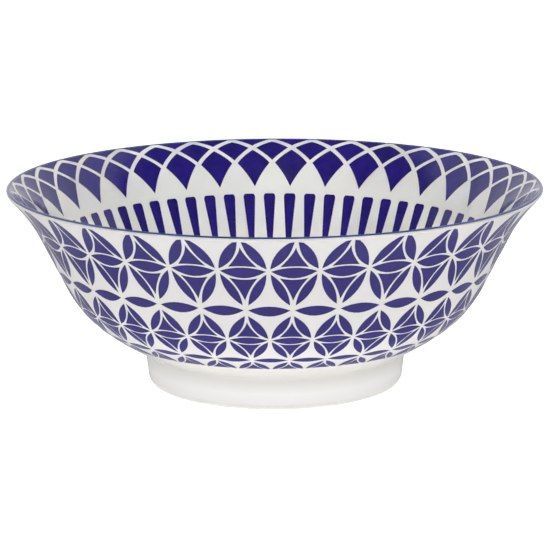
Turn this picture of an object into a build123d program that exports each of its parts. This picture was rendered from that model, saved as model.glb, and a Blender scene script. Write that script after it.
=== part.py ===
from build123d import *
import os
from math import acos, asin, cos, degrees, radians, sin, sqrt

# Footed porcelain serving bowl with a printed cobalt decoration.
# Millimetres, +Z up.  The origin is the centre of the standing ring, on the table.
# Every section is drawn in the XZ plane, as (radius, height), and turned about Z.

# ---- driving dimensions of the glazed bowl
RIM_RADIUS = 101.6
HEIGHT = 76.3
LIP_ROUND = 0.85          # radius of the rounded lip

WALL_SLOPE = 63.8         # straight part of the wall, degrees from level
WALL_THICKNESS = 3.3
BELLY_SLOPE = 36.0        # where the tight belly curve meets the shallow one
BELLY_RADIUS = 44.0
BELLY_CENTRE = (40.5, 58.4)
SHALLOW_RADIUS = 150.0
LIP_FLARE_RADIUS = 60.0   # outside of the flared lip
LIP_FLARE_INSIDE = 62.0
FLOOR_RADIUS = 80.0       # curve between the belly and the flat floor, inside
UNDERSIDE_HEIGHT = 6.0    # flat underside, inside the foot ring

FOOT_RADIUS = 48.6        # at the table, before the edge is rounded
FOOT_DRAFT = 6.4          # the foot widens towards the bowl, degrees
FOOT_INNER_RADIUS = 43.6
FOOT_OUTER_ROUND = 2.2
FOOT_INNER_ROUND = 1.2
FOOT_FILLET = 2.4         # glaze pooled where the foot meets the wall
UNDERSIDE_FILLET = 1.5

GLAZE = 0.25              # glaze thickness
BARE_HEIGHT = 2.2         # the standing ring is left unglazed up to here
PRINT = 0.15              # thickness of the printed colour

RIM_LINE_RISE = 0.05      # painted rim line: stands this far above the glaze beside it
RIM_LINE_OUTER = -4.0     # from here, degrees above level outside
RIM_LINE_INNER = 130.0    # over the lip to here, inside
RIM_LINE_ARCS = 8         # short arcs that make up its round section

# heights that each printed transfer covers on the wall
LATTICE_HEIGHTS = (19.4, 74.6)
BORDER_HEIGHTS = (58.8, 75.4)
RAY_HEIGHTS = (20.5, 56.2)


# ---- directions in the section: along the wall, and out of its outer face
def outward(slope):
    return Vector(sin(radians(slope)), 0, -cos(radians(slope)))


def section_point(radius, height):
    return Vector(radius, 0, height)


# ---- centres of the tangent arcs
LIP_CENTRE = section_point(RIM_RADIUS - LIP_ROUND, HEIGHT - LIP_ROUND)
BELLY = section_point(*BELLY_CENTRE)
SHALLOW = BELLY + outward(BELLY_SLOPE) * (BELLY_RADIUS - SHALLOW_RADIUS)
BELLY_INSIDE = BELLY_RADIUS - WALL_THICKNESS
FLOOR = BELLY + outward(BELLY_SLOPE) * (BELLY_INSIDE - FLOOR_RADIUS)


def flare_centre(distance_to_wall, distance_to_lip):
    """Centre at one distance outside the belly's wall tangent, and another from the lip."""
    normal = outward(WALL_SLOPE)
    along = Vector(cos(radians(WALL_SLOPE)), 0, sin(radians(WALL_SLOPE)))
    start = BELLY + normal * distance_to_wall
    gap = start - LIP_CENTRE
    b = gap.dot(along)
    c = gap.dot(gap) - distance_to_lip ** 2
    return start + along * (-b - sqrt(b * b - c))


FLARE = flare_centre(BELLY_RADIUS + LIP_FLARE_RADIUS, LIP_FLARE_RADIUS + LIP_ROUND)
FLARE_IN = flare_centre(BELLY_INSIDE + LIP_FLARE_INSIDE, LIP_FLARE_INSIDE - LIP_ROUND)
FLARE_END = degrees(asin((FLARE - LIP_CENTRE).X / (LIP_FLARE_RADIUS + LIP_ROUND)))
FLARE_IN_END = degrees(asin((FLARE_IN - LIP_CENTRE).X / (LIP_FLARE_INSIDE - LIP_ROUND)))


def arc(centre, radius, start, end):
    """Arc about a centre between two slopes; a negative radius bends the other way."""
    middle = (start + end) / 2
    points = [centre + outward(slope) * radius for slope in (start, middle, end)]
    return Edge.make_three_point_arc(*points)


def closed_face(edges):
    """Face of the edges in turn, with straight lines across the gaps between them."""
    loop = []
    for edge, following in zip(edges, edges[1:] + edges[:1]):
        loop.append(edge)
        if (following @ 0 - edge @ 1).length > 1e-6:
            loop.append(Edge.make_line(edge @ 1, following @ 0))
    return Face(Wire(loop))


def wall_section(inset):
    """Half section of wall and floor, with every face moved into the clay by inset."""
    lip = LIP_ROUND - inset
    lip_start = LIP_CENTRE - outward(FLARE_IN_END) * lip
    lip_end = LIP_CENTRE + outward(FLARE_END) * lip
    lip_top = LIP_CENTRE - outward((FLARE_IN_END + FLARE_END) / 2 - 90) * lip
    shallow = SHALLOW_RADIUS - inset
    underside = UNDERSIDE_HEIGHT + inset
    underside_slope = degrees(acos((SHALLOW.Z - underside) / shallow))
    floor = FLOOR.Z - FLOOR_RADIUS - inset
    edges = [
        Edge.make_line((0, 0, underside), (0, 0, floor)),
        arc(FLOOR, FLOOR_RADIUS + inset, 0, BELLY_SLOPE),
        arc(BELLY, BELLY_INSIDE + inset, BELLY_SLOPE, WALL_SLOPE),
        arc(FLARE_IN, inset - LIP_FLARE_INSIDE, WALL_SLOPE, FLARE_IN_END),
        Edge.make_three_point_arc(lip_start, lip_top, lip_end),
        arc(FLARE, -LIP_FLARE_RADIUS - inset, FLARE_END, WALL_SLOPE),
        arc(BELLY, BELLY_RADIUS - inset, WALL_SLOPE, BELLY_SLOPE),
        arc(SHALLOW, shallow, BELLY_SLOPE, underside_slope),
    ]
    return closed_face(edges)


def at_corner(face, radius, height):
    """The vertex of a section nearest to a place."""
    return face.vertices().sort_by_distance((radius, 0, height))[0]


def foot_section(inset):
    """Half section of the foot ring, reaching up into the wall."""
    lean = sin(radians(FOOT_DRAFT))
    outside = FOOT_RADIUS - inset
    inside = FOOT_INNER_RADIUS + inset
    inside_top = 11.5
    outside_top = 14.5
    face = Face(Wire.make_polygon([
        section_point(inside, 0),
        section_point(inside - lean * inside_top, inside_top),
        section_point(outside + lean * outside_top, outside_top),
        section_point(outside, 0),
    ], close=True))
    face = face.fillet_2d(FOOT_OUTER_ROUND - inset, [at_corner(face, outside, 0)])
    return face.fillet_2d(FOOT_INNER_ROUND - inset, [at_corner(face, inside, 0)])


def spin(face):
    """Turn a section all the way round the bowl's axis."""
    return revolve(face, Axis.Z, 360)


# ---- clay, glaze and painted rim line
def glaze_sections():
    """The glaze coats: under the floor, inside the bowl, and outside it down the foot."""
    glazed = wall_section(0) + foot_section(0)
    corner_slope = degrees(acos((SHALLOW.Z - 12.5) / SHALLOW_RADIUS))
    corner = SHALLOW + outward(corner_slope) * SHALLOW_RADIUS
    glazed = glazed.face()
    glazed = glazed.fillet_2d(FOOT_FILLET, [at_corner(glazed, corner.X, corner.Z)])
    inner_corner_radius = FOOT_INNER_RADIUS - 1.0
    glazed = glazed.fillet_2d(UNDERSIDE_FILLET, [at_corner(glazed, inner_corner_radius, 8.5)])
    clay = wall_section(GLAZE) + foot_section(GLAZE)
    bare = Face(Wire.make_polygon([
        section_point(0, -1),
        section_point(0, BARE_HEIGHT),
        section_point(RIM_RADIUS, BARE_HEIGHT),
        section_point(RIM_RADIUS, -1),
    ], close=True))
    return (glazed - clay - bare - rim_line_section()).faces().sort_by(Axis.X)


def rim_line_section():
    """Crescent of coloured glaze over the lip, down to the clay."""
    inner = LIP_ROUND - GLAZE
    outer = LIP_ROUND + RIM_LINE_RISE
    start = 90 + RIM_LINE_OUTER
    step = (RIM_LINE_INNER - RIM_LINE_OUTER) / RIM_LINE_ARCS
    slopes = [start + step * i for i in range(RIM_LINE_ARCS + 1)]
    spans = list(zip(slopes, slopes[1:]))
    under = [arc(LIP_CENTRE, inner, low, high) for low, high in spans]
    over = [arc(LIP_CENTRE, outer, high, low) for low, high in reversed(spans)]
    return closed_face(under + over)


# ---- printed transfers: thin bands lying on the glaze
def transfer(heights, side):
    """One printed band between two heights; side is -1 outside the wall and 0 inside it."""
    low, high = heights
    band = Face(Wire.make_polygon([
        section_point(0, low),
        section_point(0, high),
        section_point(RIM_RADIUS + PRINT, high),
        section_point(RIM_RADIUS + PRINT, low),
    ], close=True))
    skin = (wall_section(-PRINT) - wall_section(0)) & band
    return skin.faces().sort_by(Axis.X)[side]


def save(name, section):
    """Write the ring that a section makes."""
    export_step(spin(section), f"parts/{name}.step")


os.makedirs("parts", exist_ok=True)
glaze_underside, glaze_inside, glaze_outside = glaze_sections()
save("body", wall_section(GLAZE))
save("foot_ring", (foot_section(GLAZE) - wall_section(GLAZE)).face())
save("glaze_outside", glaze_outside)
save("glaze_inside", glaze_inside)
save("glaze_underside", glaze_underside)
save("rim_line", rim_line_section())
save("lattice_transfer", transfer(LATTICE_HEIGHTS, -1))
save("border_transfer", transfer(BORDER_HEIGHTS, 0))
save("ray_transfer", transfer(RAY_HEIGHTS, 0))
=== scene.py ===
"""A flared porcelain serving bowl with a cobalt print, on a pale studio floor."""

import math

import bmesh
import bpy
import numpy as np
from mathutils import Matrix, Vector


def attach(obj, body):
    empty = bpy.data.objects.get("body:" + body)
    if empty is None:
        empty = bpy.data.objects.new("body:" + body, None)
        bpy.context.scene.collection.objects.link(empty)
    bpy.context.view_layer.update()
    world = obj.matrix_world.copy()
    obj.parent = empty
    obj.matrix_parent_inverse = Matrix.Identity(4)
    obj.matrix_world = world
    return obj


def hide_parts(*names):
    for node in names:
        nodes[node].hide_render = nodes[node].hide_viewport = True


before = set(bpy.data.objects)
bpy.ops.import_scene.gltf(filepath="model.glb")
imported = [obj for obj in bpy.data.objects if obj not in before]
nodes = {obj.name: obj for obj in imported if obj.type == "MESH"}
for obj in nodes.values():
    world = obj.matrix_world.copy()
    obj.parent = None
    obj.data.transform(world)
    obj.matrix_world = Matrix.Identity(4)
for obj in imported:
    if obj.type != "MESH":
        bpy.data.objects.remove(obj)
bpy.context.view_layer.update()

MM = 0.001
TURNS = 384

# The bowl's profile in millimetres, the same arcs as the CAD frame. A slope is the angle of
# the outward normal from straight down; a negative radius is an arc bulging the other way.
GLAZE = 0.25
LIP_ROUND = 0.85
LIP = np.array([100.75, 75.45])
BELLY = np.array([40.5, 58.4])
BELLY_OUT = 44.0
BELLY_IN = 40.7
WALL_SLOPE = 63.8
BELLY_SLOPE = 36.0
SHALLOW_OUT = 150.0
FLARE_OUT = 60.0
FLARE_IN = 62.0
FLOOR_IN = 80.0
FOOT_RADIUS = 48.6
FOOT_DRAFT = 6.4
FOOT_FILLET = 2.4
BARE_HEIGHT = 2.2
# The rim line's slopes. It starts higher up the outside than the CAD frame's, as photographed.
LINE_OUTER = 118.0
LINE_INNER = 222.0
LINE_RISE = 0.05

# Degrees of slope between the profile's points, on seen faces, on hidden backs and in the
# tables that the print is laid on. Small rounds take ROUND_STEP times as much.
FACE_STEP = 1.0
BACK_STEP = 4.0
TABLE_STEP = 0.25
ROUND_STEP = 9
FOOT_POINTS = 8
LINE_POINTS = 24
SAME_POINT = 1e-6


def outward(slope):
    """Unit normal (radius, height) for slopes in degrees."""
    a = np.radians(slope)
    return np.stack([np.sin(a), -np.cos(a)], -1)


SHALLOW = BELLY + outward(BELLY_SLOPE) * (BELLY_OUT - SHALLOW_OUT)
FLOOR = BELLY + outward(BELLY_SLOPE) * (BELLY_IN - FLOOR_IN)


def at_reach(start, along, centre, reach):
    """The point of a line that is at a distance from a centre, the one further back along it."""
    gap = start - centre
    back = gap @ along
    return start + along * (-back - math.sqrt(back**2 - gap @ gap + reach**2))


def flare_centre(belly, reach, lip_reach):
    """Centre of the flare arc, tangent to the straight wall and to the rounded lip."""
    n = outward(WALL_SLOPE)
    along = np.array([math.cos(math.radians(WALL_SLOPE)), math.sin(math.radians(WALL_SLOPE))])
    return at_reach(BELLY + n * (belly + reach), along, LIP, lip_reach)


FLARE = flare_centre(BELLY_OUT, FLARE_OUT, FLARE_OUT + LIP_ROUND)
FLARE_INNER = flare_centre(BELLY_IN, FLARE_IN, FLARE_IN - LIP_ROUND)
FLARE_END = math.degrees(math.asin((FLARE - LIP)[0] / (FLARE_OUT + LIP_ROUND)))
FLARE_IN_END = math.degrees(math.asin((FLARE_INNER - LIP)[0] / (FLARE_IN - LIP_ROUND)))

# Fillet between the foot and the shallow underside of the wall
draft = math.radians(FOOT_DRAFT)
foot_normal = np.array([math.cos(draft), -math.sin(draft)])
foot_line = np.array([math.sin(draft), math.cos(draft)])
foot_start = np.array([FOOT_RADIUS, 0.0]) + foot_normal * FOOT_FILLET
FILLET = at_reach(foot_start, foot_line, SHALLOW, SHALLOW_OUT + FOOT_FILLET)
FILLET_SLOPE = math.degrees(math.atan2((FILLET - SHALLOW)[0], -(FILLET - SHALLOW)[1]))


def arc(centre, radius, start, end, step, flip=1.0):
    """Points and normals of an arc between two slopes. flip=-1 turns the normals round."""
    count = max(2, int(abs(end - start) / step) + 2)
    n = outward(np.linspace(start, end, count))
    return centre + n * radius, n * flip


def chain(*arcs):
    """One run of points and normals through several arcs; the straight wall fills itself in."""
    points = np.concatenate([a[0] for a in arcs])
    normals = np.concatenate([a[1] for a in arcs])
    keep = np.r_[True, np.linalg.norm(np.diff(points, axis=0), axis=1) > SAME_POINT]
    return points[keep], normals[keep]


def outer_chain(step):
    """Bare edge on the foot, up the outside of the wall and on to the lip."""
    foot_z = (FILLET - foot_normal * FOOT_FILLET)[1]
    rise = np.linspace(BARE_HEIGHT, foot_z, FOOT_POINTS)
    radii = FOOT_RADIUS + rise * math.tan(draft)
    foot = np.stack([radii, rise], -1), np.tile(foot_normal, (FOOT_POINTS, 1))
    return chain(
        foot,
        arc(FILLET, -FOOT_FILLET, 90 - FOOT_DRAFT, FILLET_SLOPE, ROUND_STEP * step),
        arc(SHALLOW, SHALLOW_OUT, FILLET_SLOPE, BELLY_SLOPE, step),
        arc(BELLY, BELLY_OUT, BELLY_SLOPE, WALL_SLOPE, step),
        arc(FLARE, -FLARE_OUT, WALL_SLOPE, FLARE_END, step),
        arc(LIP, LIP_ROUND, FLARE_END, LINE_OUTER, ROUND_STEP * step),
    )


def inner_chain(step):
    """Middle of the floor, up the inside of the wall and on to the lip. Normals point into the bowl."""
    return chain(
        arc(FLOOR, FLOOR_IN, 0, BELLY_SLOPE, step, -1),
        arc(BELLY, BELLY_IN, BELLY_SLOPE, WALL_SLOPE, step, -1),
        arc(FLARE_INNER, -FLARE_IN, WALL_SLOPE, FLARE_IN_END, step, -1),
    )


SHARP_CORNER = 35
MERGE_DISTANCE = 2e-6


def mesh_object(name, vertices, faces):
    """A closed mesh in metres, smooth apart from its sharp corners."""
    mesh = bpy.data.meshes.new(name)
    mesh.from_pydata([tuple(v) for v in np.asarray(vertices) * MM], [], faces)
    bm = bmesh.new()
    bm.from_mesh(mesh)
    bmesh.ops.remove_doubles(bm, verts=bm.verts, dist=MERGE_DISTANCE)
    bmesh.ops.recalc_face_normals(bm, faces=bm.faces)
    bm.to_mesh(mesh)
    bm.free()
    mesh.polygons.foreach_set("use_smooth", [True] * len(mesh.polygons))
    mesh.set_sharp_from_angle(angle=math.radians(SHARP_CORNER))
    obj = bpy.data.objects.new(name, mesh)
    bpy.context.scene.collection.objects.link(obj)
    return obj


def lathe(name, loop):
    """A closed (radius, height) loop turned about the bowl's axis."""
    loop = np.asarray(loop)
    n = len(loop)
    a = np.linspace(0, 2 * math.pi, TURNS, endpoint=False)
    r, z = np.maximum(loop[:, 0], 0), loop[:, 1]
    vertices = np.stack([np.outer(np.cos(a), r), np.outer(np.sin(a), r), np.tile(z, (TURNS, 1))], -1)
    faces = []
    for i in range(TURNS):
        p, q = i * n, (i + 1) % TURNS * n
        faces += [(p + k, q + k, q + (k + 1) % n, p + (k + 1) % n) for k in range(n)]
    return mesh_object(name, vertices.reshape(-1, 3), faces)


def coat(name, run):
    """A coat GLAZE thick on a run of the profile, its back with fewer rows."""
    face, _ = run(FACE_STEP)
    back, normals = run(BACK_STEP)
    return lathe(name, np.concatenate([face, (back - normals * GLAZE)[::-1]]))


outer_glaze = coat("outer_glaze", outer_chain)
inner_glaze = coat("inner_glaze", inner_chain)
line_normals = outward(np.linspace(LINE_OUTER, LINE_INNER, LINE_POINTS))
line_face = LIP + line_normals * (LIP_ROUND + LINE_RISE)
line_back = LIP + line_normals * (LIP_ROUND - GLAZE)
rim_band = lathe("rim_band", np.concatenate([line_face, line_back[::-1]]))

# ---------------------------------------------------------------- the printed shapes
PRINT_TOP = 0.07
PRINT_ROOT = -0.12
PRINT_ROWS = 5
SIDE_POINTS = 9
HALF_SIDE_POINTS = 7
CORNERED_POINTS = 2 * HALF_SIDE_POINTS - 1
outer_table = outer_chain(TABLE_STEP)
inner_table = inner_chain(TABLE_STEP)


def on_wall(table, angle, height, lift):
    """Points at these angles from the front and heights, lifted off the wall along its normal."""
    (points, normals), z = table, np.asarray(height)
    r = np.interp(z, points[:, 1], points[:, 0])
    nr = np.interp(z, points[:, 1], normals[:, 0])
    nz = np.interp(z, points[:, 1], normals[:, 1])
    r, z = r + nr * lift, z + nz * lift
    return np.stack([r * np.sin(angle), -r * np.cos(angle), z], -1)


def curve(start, middle, end, count=SIDE_POINTS):
    """A side of a shape: a gentle curve through three points."""
    start, middle, end = map(np.array, (start, middle, end))
    t = np.linspace(0, 1, count)[:, None]
    control = 2 * middle - (start + end) / 2
    return (1 - t) ** 2 * start + 2 * t * (1 - t) * control + t**2 * end


def corner(start, middle, tip, middle2, end):
    """Two curves meeting in a point."""
    to_tip = curve(start, middle, tip, HALF_SIDE_POINTS)
    from_tip = curve(tip, middle2, end, HALF_SIDE_POINTS)
    return np.concatenate([to_tip, from_tip[1:]])


def mirrored(shape):
    """The same pair of sides on the other side of the axis."""
    return tuple(side * (-1, 1) for side in shape)


def prints(name, table, shapes):
    """One mesh of thin shapes. Each shape is its two long sides as (angle, height) runs."""
    vertices, faces = [], []
    base, rows = 0, PRINT_ROWS
    mix = np.linspace(0, 1, rows)[None, :, None]
    for one, two in shapes:
        count = len(one)
        grid = one[:, None] * (1 - mix) + two[:, None] * mix
        for lift in (PRINT_TOP, PRINT_ROOT):
            vertices.append(on_wall(table, grid[..., 0], grid[..., 1], lift).reshape(-1, 3))
        under = count * rows

        def at(i, j, layer):
            return base + i * rows + j + layer * under

        for i in range(count - 1):
            for j in range(rows - 1):
                faces.append((at(i, j, 0), at(i + 1, j, 0), at(i + 1, j + 1, 0), at(i, j + 1, 0)))
                faces.append((at(i, j, 1), at(i, j + 1, 1), at(i + 1, j + 1, 1), at(i + 1, j, 1)))
            for j in (0, rows - 1):
                faces.append((at(i, j, 0), at(i + 1, j, 0), at(i + 1, j, 1), at(i, j, 1)))
        for i in (0, count - 1):
            for j in range(rows - 1):
                faces.append((at(i, j, 0), at(i, j + 1, 0), at(i, j + 1, 1), at(i, j, 1)))
        base += 2 * under
    return mesh_object(name, np.concatenate(vertices), faces)


# Outside: rows of petals and triangles. x counts repeats round the bowl, y counts rows down it.
# START values are the angle of the first repeat from the front, towards +X.
OUTER_REPEATS = 32
OUTER_START = 4.22
ROW_HEIGHTS = [78.78, 62.26, 46.48, 34.0, 24.5, 18.91]
OUTER_TOP = 74.7
OUTER_FOOT = 19.4

girdle = curve((-0.448, 1), (0, 0.905), (0.448, 1)), curve((-0.448, 1), (0, 1.174), (0.448, 1))
divider = curve((0.048, 2), (0.5, 1.897), (0.952, 2)), curve((0.048, 2), (0.5, 2.192), (0.952, 2))
upper_petal = (
    curve((0.033, 0.19), (0.159, 0.66), (0.466, 0.942)),
    curve((0.033, 0.19), (0.335, 0.527), (0.466, 0.942)),
)
lower_petal = (
    curve((0.457, 1.074), (0.357, 1.532), (0.059, 1.871)),
    curve((0.457, 1.074), (0.175, 1.429), (0.059, 1.871)),
)
crown = (
    corner((-0.271, 0.891), (-0.085, 0.614), (0, 0.387), (0.085, 0.614), (0.271, 0.891)),
    curve((-0.271, 0.891), (0, 0.872), (0.271, 0.891), CORNERED_POINTS),
)
hanging = (
    curve((-0.28, 1.173), (0, 1.213), (0.28, 1.173), CORNERED_POINTS),
    corner((-0.28, 1.173), (-0.12, 1.447), (0, 1.747), (0.12, 1.447), (0.28, 1.173)),
)
top_shapes = [upper_petal, mirrored(upper_petal), crown]
full_shapes = top_shapes + [girdle, divider, lower_petal, mirrored(lower_petal), hanging]


def outer_side(side, start_row, repeat):
    """A side in repeats and rows as angles and heights."""
    angle = math.radians(OUTER_START) + (side[:, 0] + repeat) * 2 * math.pi / OUTER_REPEATS
    height = np.interp(side[:, 1] + start_row, range(len(ROW_HEIGHTS)), ROW_HEIGHTS)
    return np.stack([angle, np.clip(height, OUTER_FOOT, OUTER_TOP)], -1)


lattice = [
    tuple(outer_side(side, start_row, repeat) for side in shape)
    for start_row, shapes in ((0, full_shapes), (2, full_shapes), (4, top_shapes))
    for shape in shapes
    for repeat in range(OUTER_REPEATS)
]
lattice_print = prints("lattice_print", outer_table, lattice)

# Inside border: rim triangles and kites half a repeat from the diamonds, heights in mm.
INNER_REPEATS = 37
INNER_START = 180.609
rim_triangle = (
    curve((-0.40, 76.03), (0, 76.03), (0.40, 76.03), CORNERED_POINTS),
    corner((-0.40, 76.03), (-0.109, 74.62), (0, 73.86), (0.109, 74.62), (0.40, 76.03)),
)
diamond = (
    corner((-0.403, 73.145), (-0.19, 74.5), (0, 75.25), (0.19, 74.5), (0.403, 73.145)),
    corner((-0.403, 73.145), (-0.162, 70.645), (0, 68.65), (0.162, 70.645), (0.403, 73.145)),
)
kite = (
    corner((-0.428, 67.65), (-0.249, 70.04), (0, 72.39), (0.249, 70.04), (0.428, 67.65)),
    corner((-0.428, 67.65), (-0.196, 63.46), (0, 58.73), (0.196, 63.46), (0.428, 67.65)),
)


def inner_side(side, repeat):
    """A side in repeats and heights as angles and heights."""
    angle = math.radians(INNER_START) + (side[:, 0] + repeat) * 2 * math.pi / INNER_REPEATS
    return np.stack([angle, side[:, 1]], -1)


border = [
    tuple(inner_side(side, repeat + shift) for side in shape)
    for shape, shift in ((rim_triangle, 0.5), (diamond, 0), (kite, 0.5))
    for repeat in range(INNER_REPEATS)
]
border_print = prints("border_print", inner_table, border)

# Inside rays, tapering down towards the floor, their top corners rounded
RAYS = 63
RAY_START = 181.486
RAY_TOP = 56.04
RAY_TOP_HALF = 2.519
RAY_LOW = 38.0
RAY_LOW_HALF = 1.082
RAY_TAPER = (RAY_TOP_HALF - RAY_LOW_HALF) / (RAY_TOP - RAY_LOW)
RAY_FOOT = RAY_TOP - RAY_TOP_HALF / RAY_TAPER
CORNER_WIDE = 1.04
CORNER_TALL = 1.55
RAY_POINTS = 18
CORNER_POINTS = 7
corner_start = RAY_TOP - CORNER_TALL
corner_turn = np.linspace(0, math.pi / 2, CORNER_POINTS)[1:]
ray_z = np.concatenate([
    np.linspace(RAY_FOOT, corner_start, RAY_POINTS),
    corner_start + CORNER_TALL * np.sin(corner_turn),
])
into_corner = np.clip((ray_z - RAY_TOP + CORNER_TALL) / CORNER_TALL, 0, 1)
ray_half = (ray_z - RAY_FOOT) * RAY_TAPER - CORNER_WIDE * (1 - np.sqrt(1 - into_corner**2))
ray_half /= np.interp(ray_z, inner_table[0][:, 1], inner_table[0][:, 0])
rays = []
for k in range(RAYS):
    angle = math.radians(RAY_START + k * 360 / RAYS)
    rays.append(tuple(np.stack([angle + side * ray_half, ray_z], -1) for side in (-1, 1)))
ray_print = prints("ray_print", inner_table, rays)

for piece, node, finish in (
    (outer_glaze, "glaze_outside", "glaze"),
    (inner_glaze, "glaze_inside", "glaze"),
    (rim_band, "rim_line", "cobalt"),
    (lattice_print, "lattice_transfer", "cobalt"),
    (border_print, "border_transfer", "cobalt"),
    (ray_print, "ray_transfer", "cobalt"),
):
    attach(piece, "root")
    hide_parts(node)


# ---------------------------------------------------------------- materials
DRIFT_DETAIL = 3.0
DRIFT_RANGE = (0.3, 0.7)
WAVE_SCALE = 28.0
WAVE_DETAIL = 1.0
WAVE_DEPTH = 0.001
GLAZE_IOR = 1.5

# A Mix node has its own sockets for each type, and they share their names
MIX_FACTOR = 0
MIX_VALUES = (2, 3)
MIX_VALUE_OUT = 0
MIX_COLOURS = (6, 7)
MIX_COLOUR_OUT = 2


def material(name, low, high, scale, roughness, bump):
    """A procedural finish: a slow drift between two colours and a faint waviness."""
    mat = bpy.data.materials.new(name)
    mat.use_nodes = True
    tree = mat.node_tree
    shader = tree.nodes["Principled BSDF"]
    place = tree.nodes.new("ShaderNodeTexCoord")
    drift = tree.nodes.new("ShaderNodeTexNoise")
    drift.inputs["Scale"].default_value = scale
    drift.inputs["Detail"].default_value = DRIFT_DETAIL
    ramp = tree.nodes.new("ShaderNodeValToRGB")
    ramp.color_ramp.elements[0].position = DRIFT_RANGE[0]
    ramp.color_ramp.elements[0].color = (*low, 1)
    ramp.color_ramp.elements[1].position = DRIFT_RANGE[1]
    ramp.color_ramp.elements[1].color = (*high, 1)
    wave = tree.nodes.new("ShaderNodeTexNoise")
    wave.inputs["Scale"].default_value = WAVE_SCALE
    wave.inputs["Detail"].default_value = WAVE_DETAIL
    relief = tree.nodes.new("ShaderNodeBump")
    relief.inputs["Strength"].default_value = bump
    relief.inputs["Distance"].default_value = WAVE_DEPTH
    tree.links.new(place.outputs["Object"], drift.inputs["Vector"])
    tree.links.new(place.outputs["Object"], wave.inputs["Vector"])
    tree.links.new(drift.outputs["Fac"], ramp.inputs["Fac"])
    tree.links.new(ramp.outputs["Color"], shader.inputs["Base Color"])
    tree.links.new(wave.outputs["Fac"], relief.inputs["Height"])
    tree.links.new(relief.outputs["Normal"], shader.inputs["Normal"])
    shader.inputs["Roughness"].default_value = roughness
    shader.inputs["IOR"].default_value = GLAZE_IOR
    return mat


def paint_light_by_height(mat, stops, top):
    """Paints light and shade into a glaze's colour by (height, colour) stops, fading to its own colour
    at the top height.
    """
    tree = mat.node_tree
    shader = tree.nodes["Principled BSDF"]
    wall_colour = shader.inputs["Base Color"].links[0].from_socket
    place = tree.nodes.new("ShaderNodeTexCoord")
    axes = tree.nodes.new("ShaderNodeSeparateXYZ")
    rise = tree.nodes.new("ShaderNodeMapRange")
    rise.inputs["From Max"].default_value = top
    shades = tree.nodes.new("ShaderNodeValToRGB")
    points = shades.color_ramp.elements
    points.remove(points[1])
    points[0].position = 0.0
    points[0].color = (*stops[0][1], 1)
    for height, colour in stops[1:]:
        points.new(height / top).color = (*colour, 1)
    fade = tree.nodes.new("ShaderNodeMapRange")
    fade.inputs["From Min"].default_value = stops[-1][0]
    fade.inputs["From Max"].default_value = top
    mix = tree.nodes.new("ShaderNodeMix")
    mix.data_type = "RGBA"
    tree.links.new(place.outputs["Object"], axes.inputs["Vector"])
    tree.links.new(axes.outputs["Z"], rise.inputs["Value"])
    tree.links.new(axes.outputs["Z"], fade.inputs["Value"])
    tree.links.new(rise.outputs["Result"], shades.inputs["Fac"])
    tree.links.new(fade.outputs["Result"], mix.inputs[MIX_FACTOR])
    tree.links.new(shades.outputs["Color"], mix.inputs[MIX_COLOURS[0]])
    tree.links.new(wall_colour, mix.inputs[MIX_COLOURS[1]])
    tree.links.new(mix.outputs[MIX_COLOUR_OUT], shader.inputs["Base Color"])


def wear(obj, mat):
    """Makes this the object's only material."""
    obj.data.materials.clear()
    obj.data.materials.append(mat)


white = material("white_glaze", (0.725, 0.712, 0.690), (0.745, 0.733, 0.712), 30.0, 0.10, 0.06)
# A copy of the white glaze for the outside, with painted light on the foot and painted shade in the
# crease
outer_white_painted_light = white.copy()
outer_white_painted_light.name = "white_glaze_outside_painted_light"

# Painted light and shade: the glaze is painted a purer white on the foot, standing in for the light on
# it, and painted grey in the crease under the wall, where shade falls
FOOT_PAINTED_LIGHT = (0.86, 0.85, 0.835)
CREASE_PAINTED_SHADE = (0.64, 0.625, 0.59)
PAINTED_LIGHT_TOP = 0.024
painted_light_stops = (
    (0, FOOT_PAINTED_LIGHT),
    (0.0065, FOOT_PAINTED_LIGHT),
    (0.0125, CREASE_PAINTED_SHADE),
    (0.017, CREASE_PAINTED_SHADE),
)
# Paints the foot's light and the crease's shade into the outside glaze's colour by height
paint_light_by_height(outer_white_painted_light, painted_light_stops, PAINTED_LIGHT_TOP)
cobalt = material("cobalt_print", (0.012, 0.005, 0.130), (0.019, 0.009, 0.170), 260.0, 0.08, 0.06)
line_blue = material("rim_line_blue", (0.02, 0.035, 0.17), (0.03, 0.05, 0.22), 120.0, 0.12, 0.04)
bisque = material("bisque", (0.76, 0.75, 0.72), (0.80, 0.79, 0.765), 600.0, 0.55, 0.10)

# The outside glaze's material carries painted light on the foot and painted shade in the crease
for obj, mat in (
    (outer_glaze, outer_white_painted_light), (inner_glaze, white), (nodes["glaze_underside"], white),
    (lattice_print, cobalt), (border_print, cobalt), (ray_print, cobalt),
    (rim_band, line_blue),
    (nodes["body"], bisque), (nodes["foot_ring"], bisque),
):
    wear(obj, mat)

# ---------------------------------------------------------------- studio
FLOOR_SIZE = 14
FLOOR_WHITE = (0.97, 0.97, 0.97, 1)
FLOOR_ROUGHNESS = 0.9
FLOOR_GLOW = 0.64
FLOOR_SHEEN = 0.1
PURE_WHITE = (1, 1, 1, 1)

scene = bpy.context.scene
scene.view_settings.view_transform = "Standard"
bpy.ops.mesh.primitive_plane_add(size=FLOOR_SIZE, location=(0, 0, 0))
floor = bpy.context.object
floor.name = "floor"
floor_mat = bpy.data.materials.new("floor_white")
floor_mat.use_nodes = True
floor_shader = floor_mat.node_tree.nodes["Principled BSDF"]
floor_shader.inputs["Base Color"].default_value = FLOOR_WHITE
floor_shader.inputs["Roughness"].default_value = FLOOR_ROUGHNESS
floor_shader.inputs["Emission Color"].default_value = PURE_WHITE
floor_shader.inputs["Emission Strength"].default_value = FLOOR_GLOW
floor_shader.inputs["Specular IOR Level"].default_value = FLOOR_SHEEN
wear(floor, floor_mat)

world = bpy.data.worlds.new("studio")
scene.world = world
world.use_nodes = True
sky = world.node_tree


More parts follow.
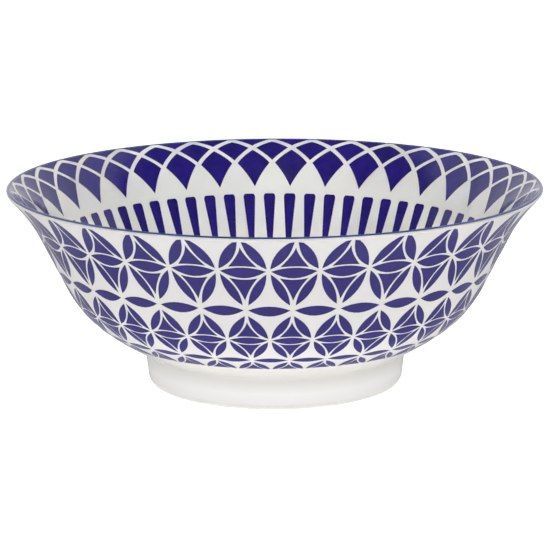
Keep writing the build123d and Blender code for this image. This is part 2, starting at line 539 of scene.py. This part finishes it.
def ramp_of(source, low, high, start, end):
    """A value that goes from start to end while the source goes from low to high."""
    node = sky.nodes.new("ShaderNodeMapRange")
    node.inputs["From Min"].default_value = low
    node.inputs["From Max"].default_value = high
    node.inputs["To Min"].default_value = start
    node.inputs["To Max"].default_value = end
    sky.links.new(source, node.inputs["Value"])
    return node.outputs["Result"]


def blend_of(factor, first, second):
    """first where the factor is 0, second where it is 1."""
    node = sky.nodes.new("ShaderNodeMix")
    sky.links.new(factor, node.inputs[MIX_FACTOR])
    for value, place in zip((first, second), MIX_VALUES):
        socket = node.inputs[place]
        if isinstance(value, float):
            socket.default_value = value
        else:
            sky.links.new(value, socket)
    return node.outputs[MIX_VALUE_OUT]


# A studio tent, drawn by direction: Y points away behind the bowl and Z points up.
# It is bright behind and dark towards the front, over a white backdrop at the horizon.
# Below the horizon is the light that comes off the table, strongest in front.
TENT_FRONT = 0.15
TENT_BACK = 0.86
BACKDROP = 1.0
TABLE_FRONT = 0.80
TABLE_BACK = 0.46
way = sky.nodes.new("ShaderNodeTexCoord")
toward = sky.nodes.new("ShaderNodeSeparateXYZ")
sky.links.new(way.outputs["Generated"], toward.inputs["Vector"])
back, up = toward.outputs["Y"], toward.outputs["Z"]
tent = ramp_of(back, 0.11, 0.23, TENT_FRONT, TENT_BACK)
above = blend_of(ramp_of(up, 0.08, 0.14, 0.0, 1.0), BACKDROP, tent)
table_light = ramp_of(back, -0.1, 0.4, TABLE_FRONT, TABLE_BACK)
level = blend_of(ramp_of(up, -0.04, -0.02, 0.0, 1.0), table_light, above)
background = sky.nodes["Background"]
background.inputs["Color"].default_value = PURE_WHITE
sky.links.new(level, background.inputs["Strength"])


def softbox(name, place, aim, width, height, watts):
    """A rectangular area light at a place, pointed at another."""
    data = bpy.data.lights.new(name, "AREA")
    data.shape = "RECTANGLE"
    data.size = width
    data.size_y = height
    data.energy = watts
    light = bpy.data.objects.new(name, data)
    scene.collection.objects.link(light)
    light.location = place
    light.rotation_euler = (Vector(aim) - Vector(place)).to_track_quat("-Z", "Y").to_euler()
    return light


front_box = softbox("front_box", (0, -2.4, 0.3), (0, 0, 0.04), 2.4, 0.5, 9)
top_box = softbox("top_box", (0, -0.78, 1.35), (0, 0.02, 0.06), 0.24, 0.24, 0.165)
TOP_SPREAD = 9
top_box.data.spread = math.radians(TOP_SPREAD)
for unseen_in_glaze in (front_box, top_box, floor):
    unseen_in_glaze.visible_glossy = False

# The photograph's camera, solved from the bowl's rim, foot and print
CAMERA_PLACE = (0, -0.9457, 0.2540)
CAMERA_TILT = 90 - 12.727
CAMERA_ROLL = -0.199
CAMERA_SENSOR = 36
CAMERA_LENS = 165.44
camera_data = bpy.data.cameras.new("camera")
camera_data.sensor_width = CAMERA_SENSOR
camera_data.lens = CAMERA_LENS
camera = bpy.data.objects.new("camera", camera_data)
scene.collection.objects.link(camera)
camera.matrix_world = (
    Matrix.Translation(CAMERA_PLACE)
    @ Matrix.Rotation(math.radians(CAMERA_TILT), 4, "X")
    @ Matrix.Rotation(math.radians(CAMERA_ROLL), 4, "Z")
)
scene.camera = camera
